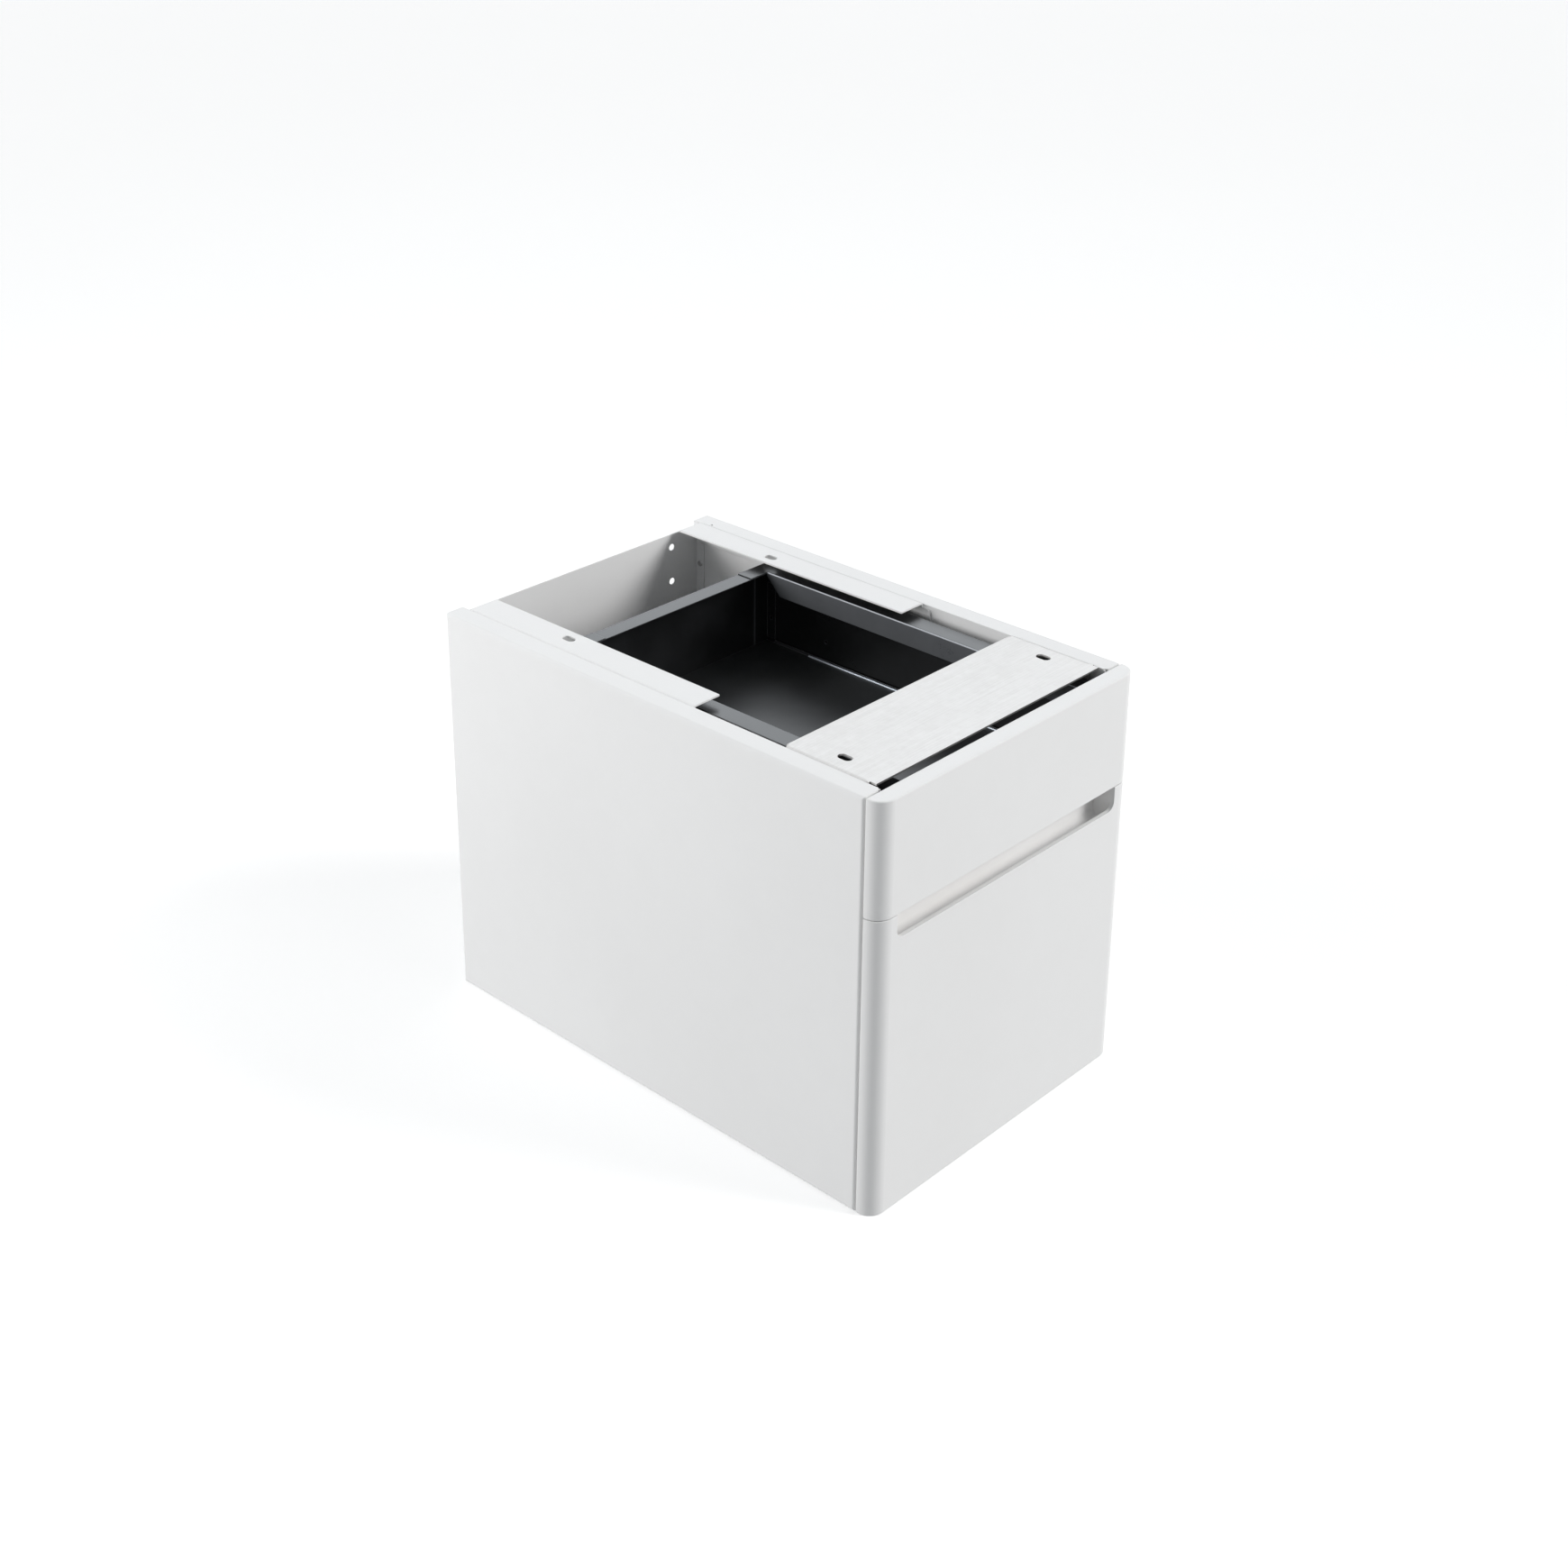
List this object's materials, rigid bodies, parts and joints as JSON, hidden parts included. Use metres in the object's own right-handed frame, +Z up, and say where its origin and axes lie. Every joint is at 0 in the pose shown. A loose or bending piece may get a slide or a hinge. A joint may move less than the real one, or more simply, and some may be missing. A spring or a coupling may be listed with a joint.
{
  "type": "drawer cabinet",
  "caption": "Low steel drawer cabinet with an open slotted top, a shallow drawer over a deep one, rounded fronts, a shared grip recess and telescopic slides.",
  "frame": {"origin": "on the floor under the middle of the cabinet", "axes": "+Z up, drawer fronts face -Y, +X to the right for someone in front of the fronts"},
  "size_m": [0.39, 0.6, 0.45],
  "materials": {
    "case_white": "fine satin powder coat, white",
    "front_white": "fine satin powder coat, white",
    "inner_white": "thin powder coat, white",
    "plate_steel": "pale zinc, faintly brushed",
    "rivet_steel": "zinc",
    "stop_rubber": "soft, pale grey",
    "drawer_dark": "satin powder coat, near black",
    "slide_zinc": "zinc, lightly greased",
    "cage_zinc": "thin stamped strip, zinc",
    "ball_steel": "polished"
  },
  "bodies": {
    "case": {"side_panel_left": "case_white", "side_panel_right": "case_white", "side_liner_left": "case_white", "side_liner_right": "case_white", "back_panel": "case_white", "bottom_panel": "case_white", "cross_plate": "plate_steel", "mount_flange_left": "case_white", "mount_flange_right": "case_white", "case_rivets": "rivet_steel", "slide_rivets": "rivet_steel", "front_stops": "stop_rubber", "upper_slide_outer_left": "slide_zinc", "upper_slide_outer_right": "slide_zinc", "lower_slide_outer_left": "slide_zinc", "lower_slide_outer_right": "slide_zinc"},
    "upper_drawer": {"upper_front": "front_white", "upper_inner_sheet": "inner_white", "upper_box_side_left": "drawer_dark", "upper_box_side_right": "drawer_dark", "upper_box_back": "drawer_dark", "upper_box_floor": "drawer_dark", "upper_box_rivets": "rivet_steel", "upper_front_screws": "rivet_steel", "upper_slide_inner_left": "slide_zinc", "upper_slide_inner_right": "slide_zinc"},
    "upper_slide_middles": {"upper_slide_middle_left": "slide_zinc", "upper_slide_middle_right": "slide_zinc"},
    "upper_outer_cages": {"upper_outer_ball_cages": "cage_zinc", "upper_outer_balls": "ball_steel"},
    "upper_inner_cages": {"upper_inner_ball_cages": "cage_zinc", "upper_inner_balls": "ball_steel"},
    "lower_drawer": {"lower_front": "front_white", "lower_grip_cup": "front_white", "lower_inner_sheet": "inner_white", "lower_box_side_left": "drawer_dark", "lower_box_side_right": "drawer_dark", "lower_box_back": "drawer_dark", "lower_box_floor": "drawer_dark", "lower_box_rivets": "rivet_steel", "lower_front_screws": "rivet_steel", "lower_slide_inner_left": "slide_zinc", "lower_slide_inner_right": "slide_zinc"},
    "lower_slide_middles": {"lower_slide_middle_left": "slide_zinc", "lower_slide_middle_right": "slide_zinc"},
    "lower_outer_cages": {"lower_outer_ball_cages": "cage_zinc", "lower_outer_balls": "ball_steel"},
    "lower_inner_cages": {"lower_inner_ball_cages": "cage_zinc", "lower_inner_balls": "ball_steel"}
  },
  "joints": [
    {"name": "upper_drawer_slide", "type": "slide", "parent": "case", "child": "upper_drawer", "axis": [0, -1, 0], "range_m": [0, 0.39]},
    {"name": "upper_slide_middles_slide", "type": "slide", "parent": "case", "child": "upper_slide_middles", "axis": [0, -1, 0], "range_m": [0, 0.195]},
    {"name": "upper_outer_cages_slide", "type": "slide", "parent": "case", "child": "upper_outer_cages", "axis": [0, -1, 0], "range_m": [0, 0.0975]},
    {"name": "upper_inner_cages_slide", "type": "slide", "parent": "case", "child": "upper_inner_cages", "axis": [0, -1, 0], "range_m": [0, 0.2925]},
    {"name": "lower_drawer_slide", "type": "slide", "parent": "case", "child": "lower_drawer", "axis": [0, -1, 0], "range_m": [0, 0.39]},
    {"name": "lower_slide_middles_slide", "type": "slide", "parent": "case", "child": "lower_slide_middles", "axis": [0, -1, 0], "range_m": [0, 0.195]},
    {"name": "lower_outer_cages_slide", "type": "slide", "parent": "case", "child": "lower_outer_cages", "axis": [0, -1, 0], "range_m": [0, 0.0975]},
    {"name": "lower_inner_cages_slide", "type": "slide", "parent": "case", "child": "lower_inner_cages", "axis": [0, -1, 0], "range_m": [0, 0.2925]}
  ],
  "couplings": [
    {"joint": "upper_slide_middles_slide", "follows": "upper_drawer_slide", "ratio": 0.5},
    {"joint": "upper_outer_cages_slide", "follows": "upper_drawer_slide", "ratio": 0.25},
    {"joint": "upper_inner_cages_slide", "follows": "upper_drawer_slide", "ratio": 0.75},
    {"joint": "lower_slide_middles_slide", "follows": "lower_drawer_slide", "ratio": 0.5},
    {"joint": "lower_outer_cages_slide", "follows": "lower_drawer_slide", "ratio": 0.25},
    {"joint": "lower_inner_cages_slide", "follows": "lower_drawer_slide", "ratio": 0.75}
  ]
}
